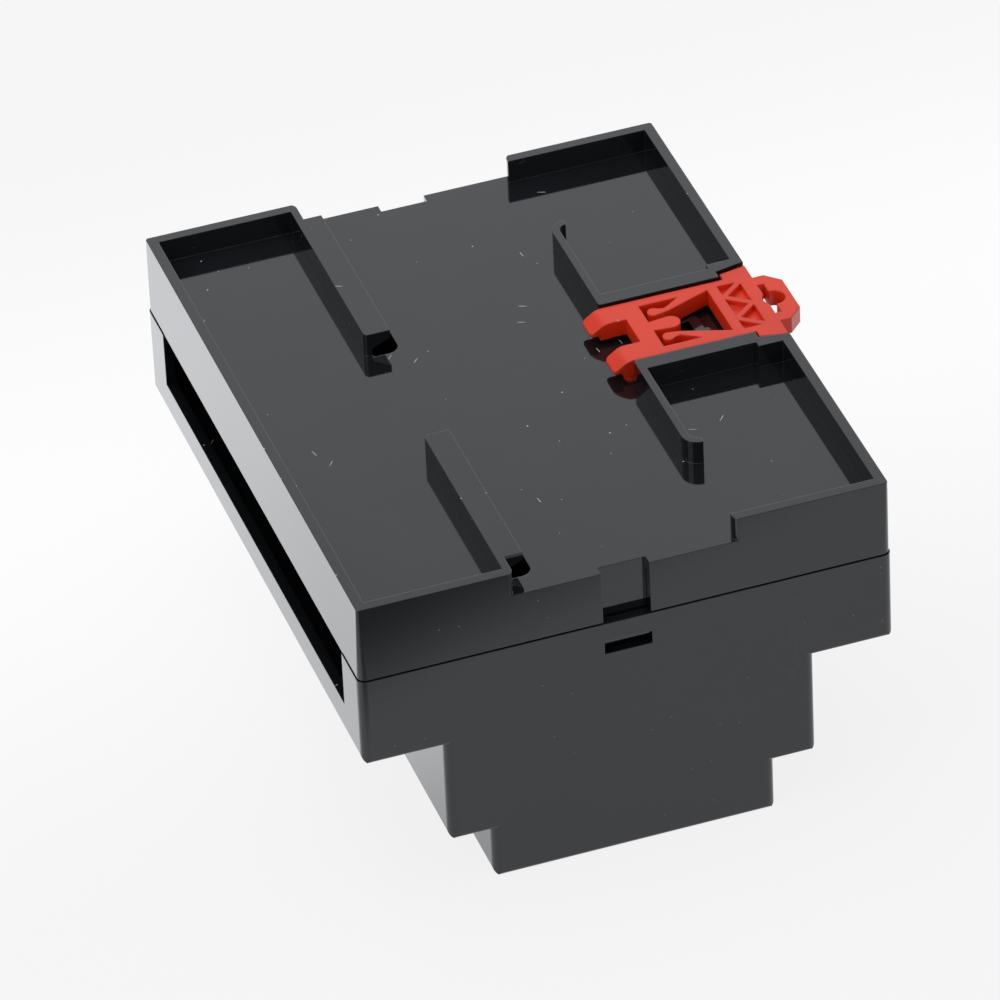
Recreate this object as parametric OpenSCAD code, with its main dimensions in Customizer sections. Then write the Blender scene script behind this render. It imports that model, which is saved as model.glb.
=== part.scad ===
// Modular housing for a 35 mm mounting rail: a moulded base with the rail seat, a stepped
// cover, a snap-in front panel and a red spring clip that slides out to release the rail.
// The housing stands on its nose: X runs across the rail, Y along it, Z from nose to rail.

/* [Housing] */
// Length along the rail, measured at the base's rim
length = 106.25; // [90:0.25:142]
// Width across the rail, measured at the base's rim
width = 86.4; // [84:0.2:92]
// Thickness of the outer walls
wall = 1.7; // [1.4:0.1:2]
// Radius of the upright corners
corner_r = 1.4; // [0.8:0.1:1.7]

/* [Base] */
// Height of the base, from the parting line up to its rim
base_h = 13.4; // [11.5:0.1:18]
// How far each side of the base leans out from rim to parting line
base_draft = 0.25; // [0.1:0.05:0.6]
// Thickness of the floor that the rail lies against
floor_t = 2; // [1.6:0.1:2.6]
// Depth of the rail channel and of the pockets beside it
channel_d = 4.1; // [3.8:0.1:5.4]

/* [Cover] */
// Height of the wide part of the cover
shoulder_h = 16; // [14:0.5:22]
// Height of the middle step
step_h = 18.7; // [12:0.1:26]
// Width of the middle step
step_w = 60.8; // [55:0.2:70]
// Height of the nose
nose_h = 9.4; // [8:0.2:14]
// Width of the nose
nose_w = 46.8; // [45:0.2:52]
// Radius of the long edges of the steps
edge_r = 1.3; // [0.6:0.1:1.6]
// Radius of the short edges at the two ends
end_edge_r = 0.6; // [0.3:0.1:1]
// Open groove between base and cover
parting_gap = 0.2; // [0.1:0.05:0.5]
// How far the cover stands out past the base
cover_proud = 0.15; // [0.05:0.05:0.4]

/* [Terminal openings] */
// Length of the opening in each side wall
terminal_l = 90.4; // [70:0.2:96]
// Height of the opening, below the parting line
terminal_h = 10; // [6:0.5:12]
// Size of the small stop on the base's edge above the middle of each opening
terminal_stop = 1.2; // [0.8:0.1:2]

/* [Rail seat] */
// Width of the rail
rail_w = 35; // [33:0.5:37]
// Play of the rail between its two stops
rail_play = 0.8; // [0.4:0.1:1.4]
// Room for the rail's flange between the floor and what hooks over it
flange_gap = 1.2; // [1.1:0.1:1.5]

/* [Fixed hooks] */
// Thickness of the walls that carry the fixed hooks
hook_t = 1.25; // [1:0.05:1.8]
// Open gap between the two hook walls
hook_gap = 28.7; // [20:0.5:40]
// How far the hooks reach over the rail
hook_reach = 3; // [2:0.1:4]
// Thickness of the hooks at their tip
hook_tip_t = 1.3; // [1:0.1:1.8]
// Distance from the end of the housing to the end of each hook
hook_inset = 4.5; // [3:0.25:8]
// Radius that rounds the free end of each hook wall
hook_end_r = 0.8; // [0.3:0.1:1]
// Extra size of the floor slots that lie under the hooks
core_margin = 1.5; // [0.6:0.1:1.6]
// Radius of the slots' corners in the channel
core_corner_r = 1.9; // [0.6:0.1:2.1]

/* [Curled walls] */
// Thickness of the walls that end in a curl
curl_t = 1.25; // [1:0.05:1.8]
// Outer radius of the curl
curl_r = 2.7; // [2:0.1:4]
// Distance from the clip's axis to the end of the curl
curl_end = 32.35; // [26:0.25:38]

/* [Snap latches] */
// Width of each latch and of its window in the cover
latch_w = 7.8; // [6:0.2:12]
// Depth of the recess in front of the latch
latch_recess = 1.85; // [1.75:0.05:2.1]
// Thickness of the latch's tongue
latch_t = 1.5; // [1.2:0.1:2]
// Distance from the parting line to the window
window_drop = 3.65; // [2.5:0.05:6]
// Height of the window
window_h = 2.3; // [1.8:0.1:4]
// Play of the latch's barb in its window
barb_play = 0.2; // [0.1:0.05:0.3]

/* [Clip] */
// Width of the clip's body
clip_w = 15.2; // [14:0.2:18]
// How far the clip's top lies below the rim
clip_drop = 0.35; // [0.2:0.05:0.6]
// Height of the clip's underside above the floor
slide_gap = 0.85; // [0.75:0.05:1.1]
// How far the clip's prongs reach over the rail
clip_bite = 2.7; // [2:0.1:3.4]
// Travel of the clip when it is pulled out
clip_travel = 4; // [2:0.1:5]
// Play between the clip and its guide walls
guide_play = 0.5; // [0.3:0.05:0.8]
// Width of the notch between the prongs
notch_w = 6.5; // [5:0.1:8]
// Depth of the notch
notch_l = 6; // [4:0.1:8]
// Width of the bar behind the notch
bar_w = 3; // [2.4:0.1:4]
// Length of the window that holds the spring arms
window_l = 11.6; // [10.8:0.1:12]
// Width of the clip's side rails along the window
side_t = 1.75; // [1.4:0.05:2]
// Radius of the prongs' corners seen from above
prong_corner_r = 0.8; // [0.4:0.1:1.4]
// Slope of the prongs' upper front face
prong_slope = 35; // [20:1:40]
// Radius between that face and the top
prong_bend_r = 3; // [1:0.25:4]
// Height of the prongs' blunt nose
prong_nose = 0.35; // [0.2:0.05:0.6]
// Height of the prongs' lip above the floor
jaw_gap = 1.7; // [1.4:0.1:1.9]
// Depth of the jaw under the lip
jaw_l = 2.2; // [1.4:0.1:2.4]
// Lean of the jaw's stop face
jaw_lean = 0.6; // [0.2:0.1:0.8]

/* [Clip details] */
// Thickness of the spring arms at their neck
arm_t = 0.95; // [0.8:0.05:1.2]
// Slant of the spring arms to the direction of travel
arm_angle = 20.5; // [17:0.5:23]
// Length of the spring arms
arm_l = 10.1; // [9.4:0.1:10.3]
// Distance from the round end to the neck
arm_neck_l = 1.9; // [1.4:0.1:2.4]
// How much more the arms' outer edge slants than their inner one
arm_flare = 13; // [9:0.5:16]
// Radius of the round end of each spring arm
arm_tip_r = 1; // [0.8:0.05:1.1]
// Width of the tongue where it leaves the bar
tongue_w = 2.4; // [1.4:0.1:2.6]
// Radius of the tongue's round end
tongue_tip_r = 1.55; // [1.1:0.05:1.7]
// Length of the tongue
tongue_l = 4.85; // [3:0.05:6]
// Width of the zigzag ribs in the head
rib_t = 0.9; // [0.6:0.1:1.4]
// Depth of the pockets between the zigzag ribs
rib_pocket_d = 1; // [0.5:0.1:1.3]
// Length of the widened head
head_l = 4.5; // [3.5:0.1:5.5]
// Width of the head at the housing's side
head_w = 19.9; // [18:0.1:24]
// How much narrower the head is at its shoulders
head_taper = 1.7; // [0.5:0.1:2.4]
// Radius of the two legs that hold the clip down
leg_r = 0.95; // [0.7:0.05:1.1]
// Distance from the prongs' tips to the legs
leg_back = 3; // [2.8:0.1:4.5]
// Distance from the clip's sides to the legs' centres
leg_inset = 1; // [0.8:0.05:1.4]
// How far the legs' barbs stand out
leg_barb = 0.4; // [0.2:0.05:0.5]
// Play of the legs in their slots
leg_play = 0.3; // [0.2:0.05:0.5]

/* [Clip ring] */
// How far the ring stands out of the housing
ring_reach = 4.2; // [3.5:0.1:8]
// Width of the ring
ring_w = 12.6; // [11.4:0.1:17]
// Size of the slanted corners of the ring
ring_corner = 2.3; // [1.5:0.1:3]
// Radius of the hole in the ring
ring_hole_r = 1.85; // [1.4:0.05:2.2]
// Distance from the housing's side to the hole's centre
ring_hole_out = 1.3; // [0.9:0.1:2]
// Length of the screwdriver slot across the hole
ring_slot_l = 8.1; // [6:0.1:9.5]
// Width of the screwdriver slot
ring_slot_w = 1.1; // [0.6:0.05:1.4]

/* [Clip guide] */
// Thickness of the guide walls beside the clip
guide_t = 2.7; // [2:0.1:3.4]
// Thickness of the walls beside the clip's head
guide_head_t = 1.5; // [1.2:0.1:2]
// Width of the wedge between the spring arms, at its wide end
wedge_w = 8.4; // [7:0.1:8.6]
// Length of the wedge
wedge_l = 6.5; // [5:0.1:8]
// Slant of the wedge's sides
wedge_angle = 17.5; // [12:0.5:20]
// Thickness of the wedge's wide end
wedge_end_t = 1.7; // [1:0.1:2.2]
// Thickness of the wedge's other walls
wedge_t = 0.5; // [0.4:0.1:1]
// Radius of the wedge's outer corners
wedge_corner_r = 0.7; // [0.4:0.1:1.2]
// Height of the wedge and of the pin beside it
wedge_h = 0.65; // [0.4:0.05:0.7]
// Radius of the small pin beside the wedge
pin_r = 0.55; // [0.4:0.05:1]
// Width of the two runners that the clip slides on
runner_w = 0.9; // [0.6:0.1:1.2]
// Play between the clip and its runners
runner_play = 0.15; // [0.1:0.05:0.3]

/* [Inside] */
// Radius of the circuit board pillars
pillar_r = 3; // [2.4:0.1:4]
// Radius of the screw holes in the pillars
pillar_hole_r = 1.1; // [0.8:0.05:1.5]
// Height of the pillars below the floor
pillar_h = 5; // [3:0.1:7]
// Distance from each pillar's centre to the side walls
pillar_inset = 10; // [8:0.5:14]
// Width of the tabs that centre the base in the cover
tab_w = 12; // [6:0.5:16]
// Thickness of the tabs
tab_t = 1.2; // [0.8:0.1:1.6]
// How far the tabs reach into the cover
tab_reach = 2.5; // [1.5:0.1:4]

/* [Front panel] */
// Width of the cover's frame around the panel
frame_w = 2.4; // [2:0.1:4]
// Thickness of the panel
panel_t = 1.6; // [1.2:0.1:2.4]
// Play around the panel
panel_play = 0.15; // [0.1:0.05:0.3]
// Width of the flange that the panel lies against
flange_w = 1.5; // [1:0.1:2.5]
// Thickness of the flange
flange_t = 1.2; // [1:0.1:1.8]
// Width of each of the panel's hooks
panel_hook_w = 6; // [4:0.5:10]
// Thickness of the panel's hooks
panel_hook_t = 1.1; // [0.8:0.1:1.5]
// How far the hooks' barbs stand out
panel_barb = 0.8; // [0.4:0.1:1]
// Distance between neighbouring hooks on one side
panel_hook_pitch = 36; // [20:1:42]

/* [Hidden] */
$fn = 64;

// What cutting shapes stand out past the faces they cut
over = 1;
// Colours of the two mouldings
black_plastic = [0.09, 0.09, 0.1];
red_plastic = [0.8, 0.12, 0.07];

// Heights above the nose's face
ledge_low_z = nose_h;
ledge_high_z = nose_h + step_h;
parting_z = ledge_high_z + shoulder_h;
rim_z = parting_z + base_h;
floor_z = rim_z - channel_d;
under_z = floor_z - floor_t;
hook_root_z = floor_z + flange_gap;
clip_bottom_z = floor_z + slide_gap;
lip_z = floor_z + jaw_gap;
clip_top_z = rim_z - clip_drop;
clip_t = clip_top_z - clip_bottom_z;

// Plan sizes of base and cover
half_w = width / 2;
base_w = width + 2 * base_draft;
base_l = length + 2 * base_draft;
cover_w = base_w + 2 * cover_proud;
cover_l = base_l + 2 * cover_proud;
channel_half = (rail_w + rail_play) / 2;

// Sloped front of the clip's prongs
bend_drop = prong_bend_r * (1 - cos(prong_slope));
nose_top_z = lip_z + prong_nose;
prong_run = (clip_top_z - bend_drop - nose_top_z) / tan(prong_slope);

// Stations of the clip along X
tip_x = rail_w / 2 - clip_bite;
notch_x = tip_x + notch_l;
bar_x = notch_x + bar_w;
window_x = bar_x + window_l;
head_x = half_w - head_l;
prong_w = (clip_w - notch_w) / 2;
leg_x = tip_x + leg_back;
leg_y = clip_w / 2 - leg_inset;
side_y = clip_w / 2 - side_t;

// Stations of the clip's guide
guide_y = clip_w / 2 + guide_play;
head_slot_y = head_w / 2 + guide_play;
shoulder_slot_y = head_slot_y - head_taper / 2;
head_slot_x = head_x - guide_play;
wedge_x = window_x - arm_tip_r - 3 * guide_play;
pin_x = wedge_x + pin_r / 2;

// Latches and their windows
latch_face_y = base_l / 2 - latch_recess;
window_top_z = parting_z - window_drop;
window_bottom_z = window_top_z - window_h;
barb_top_z = window_top_z - barb_play;
barb_bottom_z = window_bottom_z + barb_play;
barb_out_y = cover_l / 2 - wall / 3;

// Front panel and the opening it fills
panel_open_w = nose_w - 2 * frame_w;
panel_open_l = cover_l - 2 * frame_w;
flange_open_w = panel_open_w - 2 * flange_w;
flange_open_l = panel_open_l - 2 * flange_w;
panel_hook_x = flange_open_w / 2 - panel_play;

// ---------- shared outlines ----------

// Rectangle with four round corners, centred
module rounded_rect(w, l, r) {
    square([w - 2 * r, l], center = true);
    square([w, l - 2 * r], center = true);
    for (sx = [-1, 1], sy = [-1, 1])
        translate([sx * (w / 2 - r), sy * (l / 2 - r)])
            circle(r);
}

// What a cut at the origin takes off a corner to round it
module corner_cut(r) {
    difference() {
        translate([-over, -over])
            square(r + over);
        translate([r, r])
            circle(r);
    }
}

// Side view of one step: round at its two lower corners, square at the top
module step_profile(w, h, r) {
    translate([-w / 2, r])
        square([w, h - r]);
    translate([-w / 2 + r, 0])
        square([w - 2 * r, h]);
    for (s = [-1, 1])
        translate([s * (w / 2 - r), r])
            circle(r);
}

// Turns a side view drawn in X and Y upright, and draws it out along Y
module along_y(l) {
    rotate([90, 0, 0])
        linear_extrude(l, center = true)
            children();
}

// Turns a side view drawn in X and Y to face along X, and draws it out along X
module along_x(l) {
    rotate([90, 0, 90])
        linear_extrude(l, center = true)
            children();
}

// Copies its children to both ends of the rail's direction
module both_ends() {
    for (s = [0, 1])
        mirror([0, s, 0])
            children();
}

// One step of the cover, rounded along all its edges but the upper ones
module step_block(w, l, z0, z1) {
    translate([0, 0, z0])
        intersection() {
            along_y(l)
                step_profile(w, z1 - z0, edge_r);
            along_x(w)
                step_profile(l, z1 - z0, end_edge_r);
            linear_extrude(z1 - z0)
                rounded_rect(w, l, corner_r);
        }
}

// ---------- base ----------

// Leaning outer faces of the base, as the block that the whole base is cut from
module draft_block() {
    translate([0, 0, parting_z])
        intersection() {
            along_y(base_l + 2 * over)
                polygon([[-base_w / 2, 0], [base_w / 2, 0], [half_w, base_h], [-half_w, base_h]]);
            along_x(base_w + 2 * over)
                polygon([[-base_l / 2, 0], [base_l / 2, 0], [length / 2, base_h], [-length / 2, base_h]]);
        }
}

// Block beside the channel on the fixed hooks' side, with its pocket
module hook_block_plan() {
    outer_w = base_w / 2 - channel_half;
    difference() {
        translate([-channel_half - outer_w / 2, 0])
            rounded_rect(outer_w, base_l, corner_r);
        translate([-half_w + wall, -length / 2 + wall])
            square([half_w - wall - channel_half - hook_t, length - 2 * wall]);
        translate([-channel_half - hook_t - over, -hook_gap / 2])
            square([hook_t + 2 * over, hook_gap]);
        both_ends()
            translate([-channel_half - hook_t, hook_gap / 2])
                corner_cut(hook_end_r);
    }
}

// Block beside the channel on the clip's side: two end walls and the side wall
module clip_block_plan() {
    outer_w = base_w / 2 - channel_half;
    difference() {
        translate([channel_half + outer_w / 2, 0])
            rounded_rect(outer_w, base_l, corner_r);
        translate([channel_half - over, -length / 2 + wall])
            square([half_w - wall - channel_half + over, length - 2 * wall]);
        translate([half_w - wall - over, -head_slot_y])
            square([wall + base_draft + 2 * over, 2 * head_slot_y]);
    }
}

// Wall along the channel that ends in a curl, for the +Y half
module curl_wall_plan() {
    bend_y = curl_end - curl_r;
    translate([channel_half, guide_y])
        square([curl_t, bend_y - guide_y]);
    intersection() {
        translate([channel_half + curl_r, bend_y])
            difference() {
                circle(curl_r);
                circle(curl_r - curl_t);
            }
        translate([channel_half, bend_y])
            square(curl_r);
    }
}

// Guide wall beside the clip and its head, for the +Y half
module guide_wall_plan() {
    difference() {
        union() {
            translate([channel_half, guide_y])
                square([head_slot_x - channel_half, guide_t]);
            translate([head_slot_x - guide_head_t / 2, shoulder_slot_y])
                square([base_w / 2 - head_slot_x + guide_head_t / 2, head_slot_y - shoulder_slot_y + guide_head_t]);
        }
        head_slot_plan();
        translate([channel_half, guide_y])
            corner_cut(curl_t / 2);
    }
}

// Space for the clip's tapered head
module head_slot_plan() {
    end_x = base_w / 2 + over;
    slope = (head_slot_y - shoulder_slot_y) / head_l;
    end_y = shoulder_slot_y + slope * (end_x - head_slot_x);
    polygon([[head_slot_x, 0], [end_x, 0], [end_x, end_y], [head_slot_x, shoulder_slot_y]]);
}

// Every wall that stands up from the floor
module rim_plan() {
    hook_block_plan();
    clip_block_plan();
    both_ends() {
        difference() {
            curl_wall_plan();
            translate([channel_half, guide_y])
                corner_cut(curl_t / 2);
        }
        guide_wall_plan();
    }
}

// Slot in the floor under a hook, left by the tool that shapes its underside
module core_slot_plan() {
    r = core_corner_r;
    y0 = hook_gap / 2 - core_margin / 3;
    y1 = length / 2 - hook_inset + core_margin / 3;
    reach = hook_reach + core_margin;
    translate([-channel_half, y0])
        square([reach - r, y1 - y0]);
    translate([-channel_half, y0 + r])
        square([reach, y1 - y0 - 2 * r]);
    for (y = [y0 + r, y1 - r])
        translate([-channel_half + reach - r, y])
            circle(r);
}

// Slot in the floor that a leg of the clip travels in
module leg_slot_plan() {
    r = leg_r + leg_play;
    translate([leg_x, leg_y])
        circle(r);
    translate([leg_x + clip_travel, leg_y])
        circle(r);
    translate([leg_x, leg_y - r])
        square([clip_travel, 2 * r]);
}

// Recess in the end of the base in front of a latch
module latch_recess_plan() {
    translate([-latch_w / 2, latch_face_y])
        square([latch_w, latch_recess + over]);
}

// Plate that the rail lies against
module floor_plan() {
    difference() {
        rounded_rect(base_w, base_l, corner_r);
        both_ends() {
            latch_recess_plan();
            core_slot_plan();
            leg_slot_plan();
        }
        wedge_hole_plan();
    }
}

// Skirt below the floor
module skirt_plan() {
    difference() {
        rounded_rect(base_w, base_l, corner_r);
        square([base_w - 2 * wall, base_l - 2 * wall], center = true);
        both_ends()
            latch_recess_plan();
    }
}

// Fixed hook over the rail's edge, thinner at its tip
module hook() {
    y0 = hook_gap / 2;
    y1 = length / 2 - hook_inset;
    root_z = hook_root_z - rim_z;
    translate([-channel_half, (y0 + y1) / 2, rim_z])
        along_y(y1 - y0)
            polygon([
                [-hook_t / 3, 0],
                [hook_reach, 0],
                [hook_reach, -hook_tip_t],
                [0, root_z],
                [-hook_t / 3, root_z]
            ]);
}

// Snap latch that hangs from the floor, with a barb for the cover's window
module latch() {
    root_z = under_z + floor_t / 2;
    tip_z = barb_bottom_z - latch_t / 2;
    barb_y = barb_out_y - latch_face_y;
    translate([0, latch_face_y, 0]) {
        along_x(latch_w + latch_t)
            polygon([
                [-latch_t, root_z],
                [0, root_z],
                [0, tip_z + latch_t / 3],
                [-latch_t / 3, tip_z],
                [-latch_t, tip_z]
            ]);
        along_x(latch_w - 2 * barb_play)
            polygon([
                [-latch_t / 2, barb_top_z],
                [barb_y, barb_top_z],
                [barb_y, barb_top_z - latch_t / 3],
                [0, barb_bottom_z],
                [-latch_t / 2, barb_bottom_z]
            ]);
    }
}

// Tab that centres the base between the cover's end walls
module centring_tab(x) {
    translate([x - tab_w / 2, base_l / 2 - wall - tab_t, parting_z - tab_reach])
        cube([tab_w, tab_t, tab_reach + tab_t * 2]);
}

// Small stop under the base's edge that keeps a terminal cover in place
module edge_stop() {
    translate([half_w - wall, -terminal_stop / 2, parting_z - terminal_stop / 2])
        cube([wall, terminal_stop, terminal_stop]);
}

// Hollow pillar for a circuit board screw
module pillar() {
    translate([half_w - pillar_inset, length / 2 - pillar_inset, under_z - pillar_h])
        difference() {
            cylinder(h = pillar_h + floor_t / 2, r = pillar_r);
            translate([0, 0, -over])
                cylinder(h = pillar_h + over, r = pillar_hole_r);
        }
}

// Outline of the wedge that spreads the spring arms
module wedge_plan() {
    r = wedge_corner_r;
    back_w = wedge_w - 2 * (wedge_l - r) * tan(wedge_angle);
    polygon([
        [wedge_x - wedge_l, -back_w / 2],
        [wedge_x - r, -wedge_w / 2],
        [wedge_x - r, wedge_w / 2],
        [wedge_x - wedge_l, back_w / 2]
    ]);
    translate([wedge_x - 2 * r, -wedge_w / 2 + r])
        square([2 * r, wedge_w - 2 * r]);
    for (s = [-1, 1])
        translate([wedge_x - r, s * (wedge_w / 2 - r)])
            circle(r);
}

// Opening inside the wedge, through the floor
module wedge_hole_plan() {
    x0 = wedge_x - wedge_l + wedge_t;
    x1 = wedge_x - wedge_end_t;
    narrow_run = wedge_end_t - wedge_corner_r;
    w1 = wedge_w - 2 * (wedge_t / cos(wedge_angle) + narrow_run * tan(wedge_angle));
    w0 = w1 - 2 * (x1 - x0) * tan(wedge_angle);
    polygon([[x0, -w0 / 2], [x1, -w1 / 2], [x1, w1 / 2], [x0, w0 / 2]]);
}

// Wedge and pin under the spring arms
module arm_wedge() {
    translate([0, 0, under_z + floor_t / 2]) {
        linear_extrude(floor_t / 2 + wedge_h)
            difference() {
                wedge_plan();
                wedge_hole_plan();
            }
        translate([pin_x, 0, 0])
            cylinder(h = floor_t / 2 + wedge_h, r = pin_r);
    }
}

// Runner that one side of the clip slides on
module runner() {
    x0 = leg_x + clip_travel + leg_r + 2 * leg_play;
    translate([x0, side_y + side_t / 2 - runner_w / 2, under_z + floor_t / 2])
        cube([half_w - x0, runner_w, floor_t / 2 + slide_gap - runner_play]);
}

module rail_base() {
    color(black_plastic)
        intersection() {
            union() {
                translate([0, 0, under_z])
                    linear_extrude(floor_t)
                        floor_plan();
                translate([0, 0, floor_z - floor_t / 2])
                    linear_extrude(channel_d + floor_t / 2)
                        rim_plan();
                translate([0, 0, parting_z])
                    linear_extrude(under_z + floor_t / 2 - parting_z)
                        skirt_plan();
                arm_wedge();
                both_ends() {
                    hook();
                    runner();
                    for (s = [0, 1])
                        mirror([s, 0, 0])
                            pillar();
                }
            }
            draft_block();
        }
    color(black_plastic) {
        both_ends() {
            latch();
            for (s = [-1, 1])
                centring_tab(s * step_w / 3);
        }
        for (s = [0, 1])
            mirror([s, 0, 0])
                edge_stop();
    }
}

// ---------- cover ----------

// Stepped outer form of the cover
module cover_form() {
    step_block(cover_w, cover_l, ledge_high_z, parting_z - parting_gap);
    step_block(step_w, cover_l, ledge_low_z, ledge_high_z + over);
    step_block(nose_w, cover_l, 0, ledge_low_z + over);
}

// Hollow inside the cover, one wall in from its outer form and open towards the base
module cover_hollow() {
    r = edge_r / 3;
    for (step = [
        [cover_w, ledge_high_z, parting_z + over],
        [step_w, ledge_low_z, ledge_high_z + wall + over],
        [nose_w, 0, ledge_low_z + wall + over]
    ])
        translate([0, 0, step[1] + wall])
            along_y(cover_l - 2 * wall)
                step_profile(step[0] - 2 * wall, step[2] - step[1] - wall, r);
}

// Opening for the wires in a side wall, open towards the base
module terminal_opening() {
    translate([cover_w / 2 - 2 * wall, -terminal_l / 2, parting_z - terminal_h])
        cube([4 * wall, terminal_l, terminal_h + over]);
}

// Window that takes a latch's barb
module latch_window() {
    translate([-latch_w / 2, cover_l / 2 - wall - over, window_bottom_z])
        cube([latch_w, wall + 2 * over, window_h]);
}

// Flange inside the nose that the front panel lies against
module panel_flange() {
    translate([0, 0, panel_t])
        linear_extrude(flange_t)
            difference() {
                square([nose_w - wall, cover_l - wall], center = true);
                square([flange_open_w, flange_open_l], center = true);
            }
}

module front_cover() {
    color(black_plastic) {
        difference() {
            cover_form();
            cover_hollow();
            translate([0, 0, -over])
                linear_extrude(wall + 2 * over)
                    square([panel_open_w, panel_open_l], center = true);
            for (s = [0, 1])
                mirror([s, 0, 0])
                    terminal_opening();
            both_ends()
                latch_window();
        }
        panel_flange();
    }
}

// ---------- front panel ----------

// Hook that holds the panel behind the flange
module panel_hook() {
    reach_z = panel_t + flange_t + panel_play;
    tip_z = reach_z + panel_barb * 2;
    translate([panel_hook_x, 0, 0])
        along_y(panel_hook_w)
            polygon([
                [-panel_hook_t, panel_t / 2],
                [0, panel_t / 2],
                [0, reach_z],
                [panel_barb, reach_z],
                [panel_barb, reach_z + panel_barb / 2],
                [0, tip_z],
                [-panel_hook_t, tip_z]
            ]);
}

module front_panel() {
    color(black_plastic) {
        linear_extrude(panel_t)
            square([panel_open_w - 2 * panel_play, panel_open_l - 2 * panel_play], center = true);
        for (s = [0, 1], i = [-1, 0, 1])
            mirror([s, 0, 0])
                translate([0, i * panel_hook_pitch, 0])
                    panel_hook();
    }
}

// ---------- clip ----------

// One prong with its rounded corners, for the +Y half
module prong_plan() {
    r = prong_corner_r;
    translate([tip_x + r, notch_w / 2])
        square([notch_x - tip_x, prong_w]);
    translate([tip_x, notch_w / 2 + r])
        square([2 * r, prong_w - 2 * r]);
    for (y = [notch_w / 2 + r, clip_w / 2 - r])
        translate([tip_x + r, y])
            circle(r);
}

// One slanted spring arm with its round end, for the +Y half
module arm_plan() {
    neck_u = arm_l - arm_neck_l;
    tip_v = -arm_tip_r - arm_t / 3;
    root_v = -arm_t - neck_u * tan(arm_flare);
    intersection() {
        translate([window_x, side_y])
            rotate(180 + arm_angle) {
                polygon([
                    [0, 0],
                    [neck_u, 0],
                    [arm_l, tip_v + arm_tip_r],
                    [arm_l, tip_v - arm_tip_r],
                    [neck_u, -arm_t],
                    [0, root_v]
                ]);
                translate([arm_l, tip_v])
                    circle(arm_tip_r);
            }
        translate([bar_x, 0])
            square([window_l + over, side_y + side_t / 2]);
    }
}

// Tongue between the arms, wider at its round end
module tongue_plan() {
    end_x = bar_x + tongue_l - tongue_tip_r;
    polygon([
        [bar_x - bar_w / 2, -tongue_w / 2],
        [bar_x, -tongue_w / 2],
        [end_x, -tongue_tip_r],
        [end_x, tongue_tip_r],
        [bar_x, tongue_w / 2],
        [bar_x - bar_w / 2, tongue_w / 2]
    ]);
    translate([end_x, 0])
        circle(tongue_tip_r);
}

// Tapered head that closes the gap in the housing's side
module head_plan() {
    shoulder_w = head_w - head_taper;
    polygon([
        [head_x, -shoulder_w / 2],
        [half_w, -head_w / 2],
        [half_w, head_w / 2],
        [head_x, shoulder_w / 2]
    ]);
}

// Ring outside the housing, slanted at its outer corners
module ring_plan() {
    end_x = half_w + ring_reach;
    polygon([
        [half_w - side_t, -ring_w / 2],
        [end_x - ring_corner, -ring_w / 2],
        [end_x, -ring_w / 2 + ring_corner],
        [end_x, ring_w / 2 - ring_corner],
        [end_x - ring_corner, ring_w / 2],
        [half_w - side_t, ring_w / 2]
    ]);
}

// Hole in the ring with the screwdriver slot across it
module ring_hole_plan() {
    translate([half_w + ring_hole_out, 0])
        circle(ring_hole_r);
    translate([half_w, -ring_slot_l / 2])
        square([ring_slot_w, ring_slot_l]);
}

// Pockets between the zigzag ribs of the head
module rib_pocket_plan() {
    x0 = window_x + side_t;
    x1 = head_x + head_l / 2;
    half_span = side_y + rib_t / 3;
    intersection() {
        translate([x0, -half_span])
            square([x1 - x0, 2 * half_span]);
        difference() {
            translate([x0, -half_span])
                square([x1 - x0, 2 * half_span]);
            for (i = [0:3])
                zigzag_rib(x0, x1, (i - 2) * half_span / 2, half_span / 2, i % 2 == 0);
        }
    }
}

// One rib of the zigzag, rising in Y by the given amount
module zigzag_rib(x0, x1, y0, rise, from_right) {
    xa = from_right ? x1 : x0;
    xb = from_right ? x0 : x1;
    run = xb - xa;
    half_y = rib_t / 2 * sqrt(run * run + rise * rise) / abs(run);
    extra = over * sign(run);
    slope = rise / run;
    ya = y0 - slope * extra;
    yb = y0 + rise + slope * extra;
    polygon([
        [xa - extra, ya - half_y],
        [xb + extra, yb - half_y],
        [xb + extra, yb + half_y],
        [xa - extra, ya + half_y]
    ]);
}

// Whole outline of the clip with its openings
module clip_plan() {
    difference() {
        union() {
            both_ends()
                prong_plan();
            translate([notch_x, -clip_w / 2])
                square([head_x - notch_x + head_l / 2, clip_w]);
            head_plan();
            ring_plan();
        }
        translate([bar_x, -side_y])
            square([window_l, 2 * side_y]);
        ring_hole_plan();
    }
    both_ends()
        arm_plan();
    tongue_plan();
}

// Leg with a barb that holds the clip to the floor
module clip_leg() {
    barb_z = under_z - leg_play;
    translate([leg_x, leg_y, 0]) {
        translate([0, 0, barb_z - leg_barb])
            cylinder(h = clip_bottom_z - barb_z + leg_barb + clip_t / 2, r = leg_r);
        translate([0, 0, barb_z - 2 * leg_barb])
            cylinder(h = 2 * leg_barb, r1 = leg_r - leg_barb / 2, r2 = leg_r + leg_barb);
    }
}

module rail_clip() {
    color(red_plastic) {
        difference() {
            intersection() {
                translate([0, 0, clip_bottom_z - over])
                    linear_extrude(clip_t + 2 * over)
                        clip_plan();
                clip_side_form();
            }
            translate([0, 0, clip_top_z - rib_pocket_d])
                linear_extrude(rib_pocket_d + over)
                    rib_pocket_plan();
        }
        both_ends()
            clip_leg();
    }
}

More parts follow.
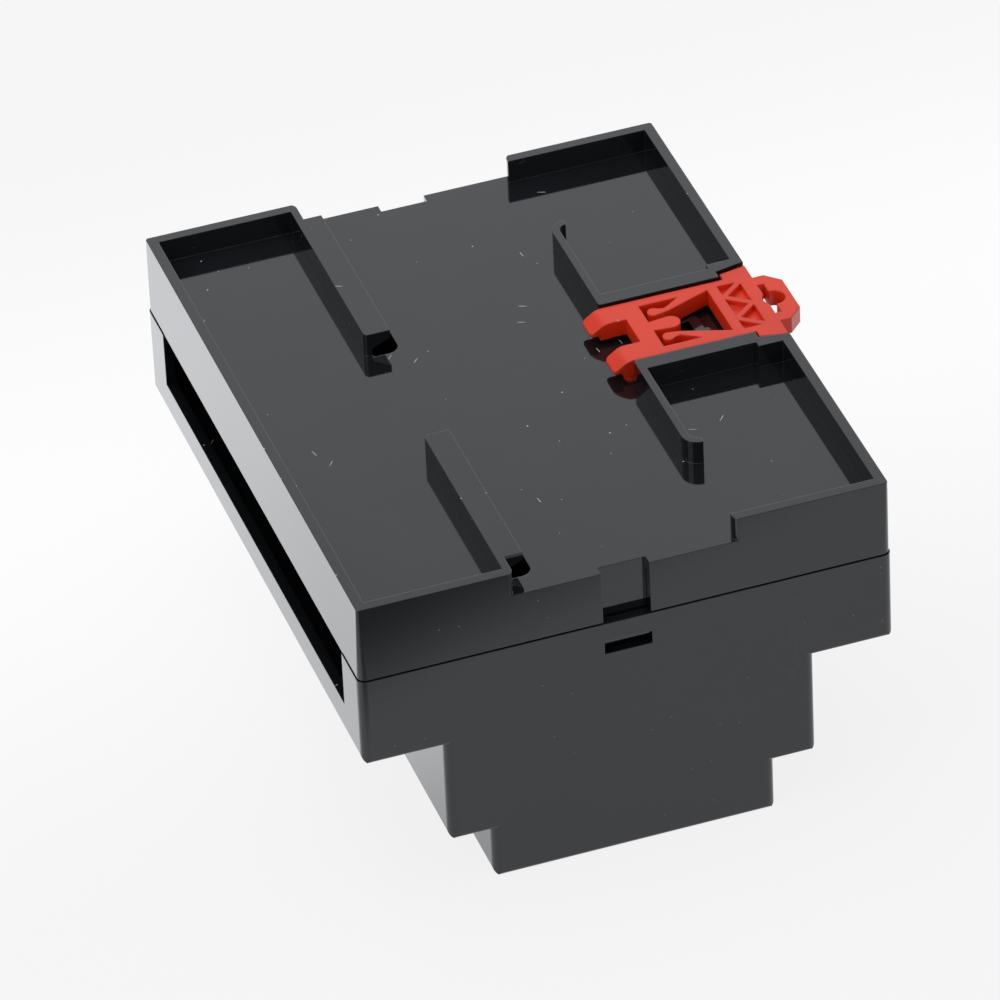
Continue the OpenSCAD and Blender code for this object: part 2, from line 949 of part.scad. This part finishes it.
// Side view of the clip: sloped prongs with a jaw under their lip
module clip_side_form() {
    end_x = half_w + ring_reach + over;
    lead = prong_nose / 2;
    bend_x = tip_x + prong_bend_r * sin(prong_slope) + prong_run;
    bend_z = clip_top_z - prong_bend_r;
    along_y(head_w + 2 * over) {
        polygon([
            [tip_x - lead, lip_z],
            [tip_x + jaw_l, lip_z],
            [tip_x + jaw_l + jaw_lean, clip_bottom_z],
            [end_x, clip_bottom_z],
            [end_x, clip_top_z],
            [bend_x, clip_top_z],
            [tip_x + prong_run, clip_top_z - bend_drop],
            [tip_x - lead, nose_top_z - lead * tan(prong_slope)]
        ]);
        intersection() {
            translate([bend_x, bend_z])
                circle(prong_bend_r);
            translate([tip_x + prong_run, bend_z])
                square([bend_x - tip_x - prong_run, prong_bend_r]);
        }
    }
}

rail_base();
front_cover();
front_panel();
rail_clip();
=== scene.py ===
"""Dresses the rail housing: glossy black mouldings, a red spring clip and a pale studio."""

import logging
import math
from dataclasses import dataclass, field
from enum import Enum
from typing import Union

import bpy
from mathutils import Matrix, Vector


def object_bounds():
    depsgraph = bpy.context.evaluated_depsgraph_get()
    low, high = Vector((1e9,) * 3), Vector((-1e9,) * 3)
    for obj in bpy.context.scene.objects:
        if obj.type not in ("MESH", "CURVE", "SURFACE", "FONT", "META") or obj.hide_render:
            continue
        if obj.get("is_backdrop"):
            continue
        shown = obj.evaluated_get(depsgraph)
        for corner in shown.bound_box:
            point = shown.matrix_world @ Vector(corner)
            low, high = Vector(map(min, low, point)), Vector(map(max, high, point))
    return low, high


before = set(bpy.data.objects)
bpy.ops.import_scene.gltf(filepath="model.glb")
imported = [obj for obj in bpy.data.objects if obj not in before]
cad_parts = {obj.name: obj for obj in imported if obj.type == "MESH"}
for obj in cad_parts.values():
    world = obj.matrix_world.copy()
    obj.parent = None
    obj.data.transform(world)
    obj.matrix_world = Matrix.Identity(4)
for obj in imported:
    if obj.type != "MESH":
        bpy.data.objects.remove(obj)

log = logging.getLogger("rail_housing")

MM = 0.001

Colour = tuple[float, float, float]
Point = tuple[float, float, float]
Socket = bpy.types.NodeSocket
Input = Union[Socket, float, Colour]


class Slot(Enum):
    """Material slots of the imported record."""

    BASE = "base_plastic"
    COVER = "cover_plastic"
    PANEL = "panel_plastic"
    CLIP = "clip_plastic"


# ---------- node graphs ----------


class Graph:
    """A material's or the world's node graph, with short calls for the nodes used here."""

    def __init__(self, tree: bpy.types.NodeTree) -> None:
        """Empties the graph.

        Args:
            tree: The node tree to fill.
        """
        self.tree = tree
        tree.nodes.clear()

    def node(
        self, kind: str, inputs: dict[str, Input] | None = None, **settings: object
    ) -> bpy.types.Node:
        """Adds one node.

        Args:
            kind: The node's type name.
            inputs: Values or sockets for its named inputs.
            settings: Properties of the node itself.

        Returns:
            The new node.
        """
        made = self.tree.nodes.new(kind)
        for name, value in settings.items():
            setattr(made, name, value)
        for name, value in (inputs or {}).items():
            self.feed(made.inputs[name], value)
        return made

    def feed(self, socket: Socket, value: Input) -> None:
        """Links a socket to another, or sets its value.

        Args:
            socket: The input socket.
            value: A socket to link, a number or a colour.
        """
        if isinstance(value, bpy.types.NodeSocket):
            self.tree.links.new(value, socket)
        elif isinstance(value, tuple) and socket.type == "RGBA":
            socket.default_value = (*value, 1.0)
        else:
            socket.default_value = value

    def math(self, operation: str, *values: Input, clamp: bool = False) -> Socket:
        """Adds a Math node.

        Args:
            operation: The operation's name.
            values: Its operands.
            clamp: Whether the result is kept between 0 and 1.

        Returns:
            The node's output.
        """
        made = self.node("ShaderNodeMath", operation=operation, use_clamp=clamp)
        for socket, value in zip(made.inputs, values):
            self.feed(socket, value)
        return made.outputs[0]

    def remap(
        self, value: Socket, low: float, high: float, to_low: float, to_high: float
    ) -> Socket:
        """Maps one range to another, smoothly and clamped.

        Args:
            value: The incoming number.
            low: Value that becomes to_low.
            high: Value that becomes to_high.
            to_low: Result at low.
            to_high: Result at high.

        Returns:
            The mapped number.
        """
        made = self.node("ShaderNodeMapRange", {
            "Value": value,
            "From Min": low,
            "From Max": high,
            "To Min": to_low,
            "To Max": to_high,
        }, interpolation_type="SMOOTHSTEP")
        return made.outputs["Result"]

    def mix(self, factor: Input, first: Input, second: Input) -> Socket:
        """Mixes two colours.

        Args:
            factor: Share of the second colour.
            first: The first colour.
            second: The second colour.

        Returns:
            The mixed colour.
        """
        made = self.node("ShaderNodeMix", data_type="RGBA")
        colours = [socket for socket in made.inputs if socket.type == "RGBA"]
        self.feed(made.inputs[0], factor)
        self.feed(colours[0], first)
        self.feed(colours[1], second)
        return [socket for socket in made.outputs if socket.type == "RGBA"][0]

    def noise(self, place: Socket, scale: float, detail: float = 2.0) -> Socket:
        """Adds a Noise texture.

        Args:
            place: Coordinates.
            scale: Blobs per metre, roughly.
            detail: Octaves.

        Returns:
            The noise, about 0 to 1.
        """
        made = self.node("ShaderNodeTexNoise", {"Vector": place, "Scale": scale, "Detail": detail})
        return made.outputs["Fac"]

    def cells(self, place: Socket, size: float, **settings: object) -> bpy.types.Node:
        """Adds a Voronoi texture.

        Args:
            place: Coordinates.
            size: Width of a cell.
            settings: Properties of the node itself.

        Returns:
            The node.
        """
        inputs = {"Vector": place, "Scale": 1 / size, "Randomness": 1.0}
        return self.node("ShaderNodeTexVoronoi", inputs, **settings)

    def dot(self, first: Input, second: Input) -> Socket:
        """Adds a dot product.

        Args:
            first: The first vector.
            second: The second vector.

        Returns:
            The product.
        """
        made = self.node("ShaderNodeVectorMath", operation="DOT_PRODUCT")
        self.feed(made.inputs[0], first)
        self.feed(made.inputs[1], second)
        return made.outputs["Value"]

    def stretched(self, place: Socket, scale: Point, turn: Point) -> Socket:
        """Turns coordinates and then stretches them.

        Args:
            place: Coordinates.
            scale: Factor along each axis.
            turn: Angle about each axis, in degrees.

        Returns:
            The new coordinates.
        """
        angles = tuple(math.radians(angle) for angle in turn)
        for inputs in ({"Rotation": angles}, {"Scale": scale}):
            mapped = self.node("ShaderNodeMapping", {"Vector": place, **inputs})
            place = mapped.outputs["Vector"]
        return place


# ---------- finishes ----------


@dataclass(frozen=True)
class Dust:
    """Loose specks that settle on what faces up."""

    colour: Colour = (0.55, 0.55, 0.56)
    roughness: float = 0.9
    cell: float = 1.6 * MM
    radius: float = 0.095 * MM
    smallest: float = 0.5
    largest: float = 1.6
    share: float = 0.1

    def mask(self, graph: Graph, place: Socket, upward: Socket) -> Socket:
        """Builds the mask of the specks.

        Args:
            graph: The material's graph.
            place: Object coordinates.
            upward: How far the surface faces up, 0 to 1.

        Returns:
            1 on a speck, 0 between them.
        """
        cells = graph.cells(place, self.cell)
        pick = graph.node("ShaderNodeSeparateColor", {"Color": cells.outputs["Color"]})
        chosen = graph.math("LESS_THAN", pick.outputs["Red"], self.share)
        size = graph.remap(pick.outputs["Green"], 0.0, 1.0, self.smallest, self.largest)
        radius = graph.math("MULTIPLY", size, self.radius / self.cell)
        inside = graph.math("LESS_THAN", cells.outputs["Distance"], radius)
        speck = graph.math("MULTIPLY", inside, chosen)
        return graph.math("MULTIPLY", speck, upward, clamp=True)


@dataclass(frozen=True)
class Lint:
    """Short fibres that lie on what faces up."""

    cell: float = 3 * MM
    length: float = 1.4 * MM
    width: float = 0.14 * MM
    bow: float = 0.5 * MM
    bow_rate: float = 0.8
    share: float = 0.045
    turns: tuple[float, ...] = (25.0, -50.0, 80.0)
    flat_from: float = 0.85
    flat_to: float = 0.95

    def mask(self, graph: Graph, place: Socket, rise: Socket) -> Socket:
        """Builds the mask of the fibres.

        Args:
            graph: The material's graph.
            place: Object coordinates.
            rise: Upward part of the surface's normal.

        Returns:
            1 on a fibre, 0 between them.
        """
        rate = self.bow_rate / self.length
        bow = graph.node("ShaderNodeTexNoise", {"Vector": place, "Scale": rate, "Detail": 0.0})
        shifted = graph.node("ShaderNodeVectorMath", operation="MULTIPLY_ADD")
        graph.feed(shifted.inputs[0], bow.outputs["Color"])
        graph.feed(shifted.inputs[1], (self.bow, self.bow, 0.0))
        graph.feed(shifted.inputs[2], place)
        thin = self.width / self.length
        radius = 0.5 * self.width / self.cell
        found = None
        for turn in self.turns:
            along = graph.stretched(shifted.outputs["Vector"], (thin, 1.0, 1.0), (0, 0, turn))
            cells = graph.cells(along, self.cell, voronoi_dimensions="2D")
            pick = graph.node("ShaderNodeSeparateColor", {"Color": cells.outputs["Color"]})
            chosen = graph.math("LESS_THAN", pick.outputs["Red"], self.share)
            inside = graph.math("LESS_THAN", cells.outputs["Distance"], radius)
            fibre = graph.math("MULTIPLY", inside, chosen)
            found = fibre if found is None else graph.math("MAXIMUM", found, fibre)
        lying = graph.remap(rise, self.flat_from, self.flat_to, 0.0, 1.0)
        return graph.math("MULTIPLY", found, lying)


@dataclass(frozen=True)
class Scratches:
    """Hairlines from handling."""

    pitch: float = 14 * MM
    length: float = 60 * MM
    turns: tuple[float, float] = (37.0, -81.4)
    width: float = 0.004
    strength: float = 0.35
    patch_from: float = 0.52
    patch_to: float = 0.66

    def mask(self, graph: Graph, place: Socket) -> Socket:
        """Builds the mask of the hairlines.

        Args:
            graph: The material's graph.
            place: Object coordinates.

        Returns:
            The strength of the scratch at each point.
        """
        lines = []
        scale = (1 / self.pitch, 1 / self.length, 1 / self.pitch)
        for turn in self.turns:
            wander = graph.noise(graph.stretched(place, scale, (0, 0, turn)), 1.0, 1.0)
            offset = graph.math("ABSOLUTE", graph.math("SUBTRACT", wander, 0.5))
            lines.append(graph.remap(offset, 0.0, self.width, self.strength, 0.0))
        cloud = graph.noise(place, 1 / self.length, 1.0)
        patches = graph.remap(cloud, self.patch_from, self.patch_to, 0.0, 1.0)
        return graph.math("MULTIPLY", graph.math("MAXIMUM", *lines), patches)


@dataclass(frozen=True)
class Moulding:
    """Injection-moulded plastic: a little uneven, with soft edges, dust and handling marks."""

    name: str
    colour: Colour
    roughness: float
    roughness_spread: float = 0.05
    coat: float = 0.0
    coat_roughness: float = 0.03
    specular: float = 0.5
    edge_radius: float = 0.2 * MM
    edge_wear: float = 0.25
    edge_roughness: float = 0.08
    edge_patch: float = 6 * MM
    worn_colour: Colour = (0.1, 0.1, 0.105)
    shade_spread: float = 0.15
    grain: float = 1.5 * MM
    grain_depth: float = 0.01
    grain_height: float = 0.1 * MM
    ripple: float = 22 * MM
    ripple_depth: float = 0.05
    ripple_height: float = 1 * MM
    mark_depth: float = 0.2
    mark_height: float = 0.02 * MM
    scratch_tint: float = 0.3
    scratch_roughness: float = 0.3
    dust_on_sides: float = 0.35
    dust: Dust = field(default_factory=Dust)
    lint: Lint = field(default_factory=Lint)
    scratches: Scratches = field(default_factory=Scratches)

    def material(self) -> bpy.types.Material:
        """Builds the material.

        Returns:
            The finished material.
        """
        made = bpy.data.materials.new(self.name)
        made.use_nodes = True
        made.diffuse_color = (*self.colour, 1.0)
        graph = Graph(made.node_tree)
        place = graph.node("ShaderNodeTexCoord").outputs["Object"]
        bevel = graph.node("ShaderNodeBevel", {"Radius": self.edge_radius}, samples=4)
        soft_edge = bevel.outputs["Normal"]
        flat = graph.node("ShaderNodeNewGeometry").outputs["Normal"]

        rise = graph.node("ShaderNodeSeparateXYZ", {"Vector": flat}).outputs["Z"]
        upward = graph.remap(rise, 0.2, 0.9, self.dust_on_sides, 1.0)
        specks = self.dust.mask(graph, place, upward)
        dust = graph.math("MAXIMUM", specks, self.lint.mask(graph, place, rise))
        scratches = self.scratches.mask(graph, place)
        edge = self._edge_mask(graph, soft_edge, flat, place)
        cloud = graph.noise(place, 1 / self.ripple, 3.0)

        shader = graph.node("ShaderNodeBsdfPrincipled", {
            "Base Color": self._tone(graph, cloud, edge, scratches, dust),
            "Roughness": self._sheen(graph, cloud, edge, scratches, dust),
            "Specular IOR Level": self.specular,
            "Coat Weight": self.coat,
            "Coat Roughness": self.coat_roughness,
            "Normal": self._relief(graph, place, soft_edge, scratches, dust),
            "Coat Normal": soft_edge,
        })
        graph.node("ShaderNodeOutputMaterial", {"Surface": shader.outputs["BSDF"]})
        return made

    def _tone(
        self, graph: Graph, cloud: Socket, edge: Socket, scratches: Socket, dust: Socket
    ) -> Socket:
        """Builds the colour.

        Args:
            graph: The material's graph.
            cloud: Broad unevenness.
            edge: Mask of the rubbed edges.
            scratches: Mask of the hairlines.
            dust: Mask of the specks and fibres.

        Returns:
            The colour at each point.
        """
        patchy = graph.remap(cloud, 0.3, 0.7, 0.0, 1.0)
        deep, light = (self._shade(1 - self.shade_spread), self._shade(1 + self.shade_spread))
        tone = graph.mix(patchy, deep, light)
        rubbed = graph.math("MULTIPLY", edge, self.edge_wear)
        worn = graph.mix(rubbed, tone, self.worn_colour)
        marked = graph.math("MULTIPLY", scratches, self.scratch_tint)
        scratched = graph.mix(marked, worn, self.worn_colour)
        return graph.mix(dust, scratched, self.dust.colour)

    def _sheen(
        self, graph: Graph, cloud: Socket, edge: Socket, scratches: Socket, dust: Socket
    ) -> Socket:
        """Builds the roughness.

        Args:
            graph: The material's graph.
            cloud: Broad unevenness.
            edge: Mask of the rubbed edges.
            scratches: Mask of the hairlines.
            dust: Mask of the specks and fibres.

        Returns:
            The roughness at each point.
        """
        uneven = graph.remap(cloud, 0.3, 0.7, 0.0, self.roughness_spread)
        roughness = graph.math("ADD", self.roughness, uneven)
        for mask, gain in ((edge, self.edge_roughness), (scratches, self.scratch_roughness)):
            roughness = graph.math("ADD", roughness, graph.math("MULTIPLY", mask, gain))
        return graph.math("MAXIMUM", roughness, graph.math("MULTIPLY", dust, self.dust.roughness))

    def _shade(self, factor: float) -> Colour:
        """Returns the base colour, lighter or darker by a factor."""
        return tuple(channel * factor for channel in self.colour)

    def _edge_mask(self, graph: Graph, soft: Socket, flat: Socket, place: Socket) -> Socket:
        """Finds the edges that get rubbed.

        Args:
            graph: The material's graph.
            soft: Normal rounded over the edges.
            flat: Normal of the face.
            place: Object coordinates.

        Returns:
            1 on a rubbed edge, 0 elsewhere.
        """
        near = graph.remap(graph.dot(soft, flat), 0.8, 0.995, 1.0, 0.0)
        cloud = graph.noise(place, 1 / self.edge_patch, 3.0)
        broken = graph.remap(cloud, 0.35, 0.65, 0.2, 1.0)
        return graph.math("MULTIPLY", near, broken)

    def _relief(
        self, graph: Graph, place: Socket, normal: Socket, scratches: Socket, dust: Socket
    ) -> Socket:
        """Adds the unevenness of the moulded skin to a normal.

        Args:
            graph: The material's graph.
            place: Object coordinates.
            normal: Normal to start from.
            scratches: Mask of the hairlines.
            dust: Mask of the specks and fibres.

        Returns:
            The bumped normal.
        """
        layers = (
            (graph.noise(place, 1 / self.ripple, 0.0), self.ripple_depth, self.ripple_height),
            (graph.noise(place, 1 / self.grain, 1.0), self.grain_depth, self.grain_height),
            (graph.math("SUBTRACT", dust, scratches), self.mark_depth, self.mark_height),
        )
        for height, strength, distance in layers:
            bump = graph.node("ShaderNodeBump", {
                "Height": height,
                "Strength": strength,
                "Distance": distance,
                "Normal": normal,
            })
            normal = bump.outputs["Normal"]
        return normal


@dataclass(frozen=True)
class PaleFloor:
    """Seamless white table with a faint shadow, brightest beside the object.

    Gloss sees the table brighter behind the object than in front of it, dark past a line in front,
    and gone far away.
    """

    name: str = "pale_floor"
    seen_edge: float = 1.055
    seen_middle: float = 1.135
    middle_y: float = 65 * MM
    middle_reach: float = 110 * MM
    own_light: float = 0.8
    colour: Colour = (0.5, 0.5, 0.505)
    gloss_front: float = 0.8
    gloss_behind: float = 1.3
    gloss_far_behind: float = 1.65
    turn_from: float = -52 * MM
    turn_to: float = -5 * MM
    far_behind: float = 110 * MM
    dark_line: Point = (0.35, 1.0, 0.0)
    dark_from: float = -139 * MM
    dark_to: float = -106 * MM
    dark_level: float = 0.1
    reach_from: float = 0.2
    reach_to: float = 0.6
    gloss_tint: Colour = (0.975, 0.99, 1.02)

    def material(self) -> bpy.types.Material:
        """Builds the material.

        Returns:
            The finished material.
        """
        made = bpy.data.materials.new(self.name)
        made.use_nodes = True
        graph = Graph(made.node_tree)
        rays = graph.node("ShaderNodeLightPath")
        to_eye = rays.outputs["Is Camera Ray"]
        in_gloss = rays.outputs["Is Glossy Ray"]
        level = graph.math(
            "ADD",
            graph.math("MULTIPLY", to_eye, self._seen_level(graph)),
            graph.math("MULTIPLY", in_gloss, self._gloss_level(graph)),
        )
        tint = graph.mix(in_gloss, (1.0, 1.0, 1.0), self.gloss_tint)
        glow = graph.node("ShaderNodeEmission", {"Color": tint, "Strength": level})
        matt = graph.node("ShaderNodeBsdfDiffuse", {"Color": self.colour})
        share = graph.math("MULTIPLY", graph.math("MAXIMUM", to_eye, in_gloss), self.own_light)
        blend = graph.node("ShaderNodeMixShader", {"Fac": share})
        graph.feed(blend.inputs[1], matt.outputs["BSDF"])
        graph.feed(blend.inputs[2], glow.outputs["Emission"])
        graph.node("ShaderNodeOutputMaterial", {"Surface": blend.outputs["Shader"]})
        return made

    def _seen_level(self, graph: Graph) -> Socket:
        """Shades the floor as the eye sees it: brightest on a band beside the object.

        Args:
            graph: The material's graph.

        Returns:
            The floor's level.
        """
        place = graph.node("ShaderNodeTexCoord").outputs["Object"]
        along = graph.node("ShaderNodeSeparateXYZ", {"Vector": place}).outputs["Y"]
        away = graph.math("ABSOLUTE", graph.math("SUBTRACT", along, self.middle_y))
        return graph.remap(away, 0.0, self.middle_reach, self.seen_middle, self.seen_edge)

    def _gloss_level(self, graph: Graph) -> Socket:
        """Shades the floor as gloss sees it.

        Args:
            graph: The material's graph.

        Returns:
            The floor's level.
        """
        place = graph.node("ShaderNodeTexCoord").outputs["Object"]
        along = graph.node("ShaderNodeSeparateXYZ", {"Vector": place}).outputs["Y"]
        level = graph.remap(
            along, self.turn_from, self.turn_to, self.gloss_front, self.gloss_behind
        )
        gain = self.gloss_far_behind - self.gloss_behind
        rest = graph.remap(along, self.turn_to, self.far_behind, 0.0, gain)
        level = graph.math("ADD", level, rest)
        across = graph.dot(place, self.dark_line)
        front = graph.remap(across, self.dark_from, self.dark_to, self.dark_level, 1.0)
        away = graph.node("ShaderNodeVectorMath", {"Vector": place}, operation="LENGTH")
        reach = away.outputs["Value"]
        near = graph.remap(reach, self.reach_from, self.reach_to, 1.0, self.dark_level)
        return graph.math("MULTIPLY", level, graph.math("MULTIPLY", front, near))


# ---------- the object ----------


@dataclass
class Housing:
    """The three black mouldings: rail base, stepped cover and front panel."""

    plastic: Moulding = Moulding(
        name="black_moulding",
        colour=(0.0075, 0.0085, 0.0105),
        roughness=0.06,
        roughness_spread=0.03,
        coat=0.6,
        edge_wear=0.06,
        edge_radius=0.16 * MM,
    )
    solids: tuple[tuple[str, Slot], ...] = (
        ("rail_base", Slot.BASE),
        ("front_cover", Slot.COVER),
        ("front_panel", Slot.PANEL),
    )

    def build(self) -> list[bpy.types.Object]:
        """Dresses the mouldings.

        Returns:
            The dressed objects.
        """
        material = self.plastic.material()
        return [dress(name, material) for name, slot in self.solids]


@dataclass
class Clip:
    """The red spring clip that slides in the base."""

    plastic: Moulding = Moulding(
        name="red_moulding",
        colour=(0.78, 0.034, 0.004),
        roughness=0.28,
        roughness_spread=0.08,
        specular=0.7,
        edge_wear=0.2,
        worn_colour=(0.85, 0.14, 0.08),
        edge_radius=0.4 * MM,
    )
    solid: str = "rail_clip"

    def build(self) -> list[bpy.types.Object]:
        """Dresses the clip.

        Returns:
            The dressed object, in a list.
        """
        return [dress(self.solid, self.plastic.material())]


def dress(solid: str, material: bpy.types.Material) -> bpy.types.Object:
    """Gives a solid of the frame its finish.

    Args:
        solid: Name of its node in the frame.
        material: Its new material.

    Returns:
        The dressed object.
    """
    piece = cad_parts[solid]
    piece.data.materials.clear()
    piece.data.materials.append(material)
    return piece


# ---------- the studio ----------


@dataclass(frozen=True)
class SoftBox:
    """A square area light that looks at the object."""

    name: str
    place: Point
    side: float
    power: float

    def build(self, target: Vector) -> None:
        """Adds the light.

        Args:
            target: Point that it faces.
        """
        bpy.ops.object.select_all(action="DESELECT")
        bpy.ops.object.light_add(type="AREA", location=self.place)
        lamp = bpy.context.object
        lamp.name = self.name
        lamp.data.shape = "SQUARE"
        lamp.data.size = self.side
        lamp.data.energy = self.power
        aim = target - Vector(self.place)
        lamp.rotation_euler = aim.to_track_quat("-Z", "Y").to_euler()


@dataclass(frozen=True)
class SkyGloss:
    """What gloss sees above the table: a big soft screen, a dim room and a dark horizon."""

    screen: float = 0.94
    screen_top: float = 0.55
    room: float = 0.32
    horizon: float = 0.05
    towards: Point = (0.604, 0.720, 0.342)
    outer: float = 0.45
    inner: float = 0.85
    tint: Colour = (0.97, 0.985, 1.03)
    fade_low: float = 0.50
    fade_high: float = 0.70
    rise_low: float = 0.12
    rise_high: float = 0.48

    def level(self, graph: Graph) -> Socket:
        """Builds the level in every direction.

        Args:
            graph: The world's graph.

        Returns:
            The level.
        """
        way = graph.node("ShaderNodeTexCoord").outputs["Generated"]
        height = graph.node("ShaderNodeSeparateXYZ", {"Vector": way}).outputs["Z"]
        on_screen = graph.remap(graph.dot(way, self.towards), self.outer, self.inner, 0.0, 1.0)
        screen = graph.remap(height, self.fade_low, self.fade_high, self.screen, self.screen_top)
        room = graph.remap(height, self.rise_low, self.rise_high, self.horizon, self.room)
        lit = graph.math("SUBTRACT", screen, room)
        return graph.math("MULTIPLY_ADD", on_screen, lit, room)


@dataclass
class Studio:
    """Pale floor, even white surroundings and soft light."""

    floor: PaleFloor = PaleFloor()
    floor_side: float = 12.0
    floor_gap: float = 0.05 * MM
    sky_light: float = 0.45
    sky: SkyGloss = SkyGloss()
    lamps: tuple[SoftBox, ...] = (
        SoftBox("overhead_box", (-0.2, 0.3, 1.5), 1.2, 7.5),
        SoftBox("side_box", (-1.3, -0.5, 0.9), 0.8, 3.0),
    )

    def build(self, low: Vector, high: Vector) -> None:
        """Builds the surroundings.

        Args:
            low: Lowest corner of the object's box.
            high: Highest corner of the object's box.
        """
        self._lay_floor(low.z - self.floor_gap)
        for lamp in self.lamps:
            lamp.build((low + high) / 2)
        self._paint_sky()

    def _lay_floor(self, level: float) -> None:
        """Lays the floor.

        Args:
            level: Its height.
        """
        bpy.ops.object.select_all(action="DESELECT")
        bpy.ops.mesh.primitive_plane_add(size=self.floor_side, location=(0, 0, level))
        ground = bpy.context.object
        ground.name = "floor"
        ground.data.materials.append(self.floor.material())
        ground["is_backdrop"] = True

    def _paint_sky(self) -> None:
        """Makes the surroundings white to the eye, a screen to gloss and a soft light elsewhere."""
        world = bpy.data.worlds.new("studio_sky")
        bpy.context.scene.world = world
        world.use_nodes = True
        graph = Graph(world.node_tree)
        rays = graph.node("ShaderNodeLightPath")
        in_gloss = rays.outputs["Is Glossy Ray"]
        change = graph.math("SUBTRACT", self.sky.level(graph), self.sky_light)
        level = graph.math("ADD", graph.math("MULTIPLY", in_gloss, change), self.sky_light)
        level = graph.math("MAXIMUM", level, rays.outputs["Is Camera Ray"])
        tint = graph.mix(in_gloss, (1.0, 1.0, 1.0), self.sky.tint)
        sky = graph.node("ShaderNodeBackground", {"Color": tint, "Strength": level})
        graph.node("ShaderNodeOutputWorld", {"Surface": sky.outputs["Background"]})


@dataclass(frozen=True)
class Viewpoint:
    """A long lens that looks down on the rail side from one end."""

    target: Point = (-1.3 * MM, 4.0 * MM, 27.3 * MM)
    azimuth: float = 17.67
    elevation: float = 36.63
    roll: float = -2.77
    distance: float = 1.44
    lens: float = 325.24
    sensor: float = 36.0
    far_end: float = 50.0

    def build(self) -> None:
        """Adds the camera and makes it the scene's own."""
        lens = bpy.data.cameras.new("viewpoint")
        lens.lens = self.lens
        lens.sensor_width = self.sensor
        lens.clip_end = self.far_end
        camera = bpy.data.objects.new("viewpoint", lens)
        bpy.context.scene.collection.objects.link(camera)
        bpy.context.scene.camera = camera
        turned = (
            Matrix.Rotation(math.radians(-self.azimuth), 4, "Z")
            @ Matrix.Rotation(math.radians(90 - self.elevation), 4, "X")
            @ Matrix.Rotation(math.radians(self.roll), 4, "Z")
        )
        back = turned.to_3x3() @ Vector((0, 0, self.distance))
        camera.matrix_world = Matrix.Translation(Vector(self.target) + back) @ turned


def main() -> None:
    """Builds the studio and dresses every piece."""
    logging.basicConfig(level=logging.INFO, format="%(name)s: %(message)s")
    solid_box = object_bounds()
    bpy.context.scene.view_settings.view_transform = "Standard"
    Viewpoint().build()
    Studio().build(Vector(solid_box[0]), Vector(solid_box[1]))
    for assembly in (Housing(), Clip()):
        for piece in assembly.build():
            log.info("dressed %s", piece.name)


if __name__ == "__main__":
    main()
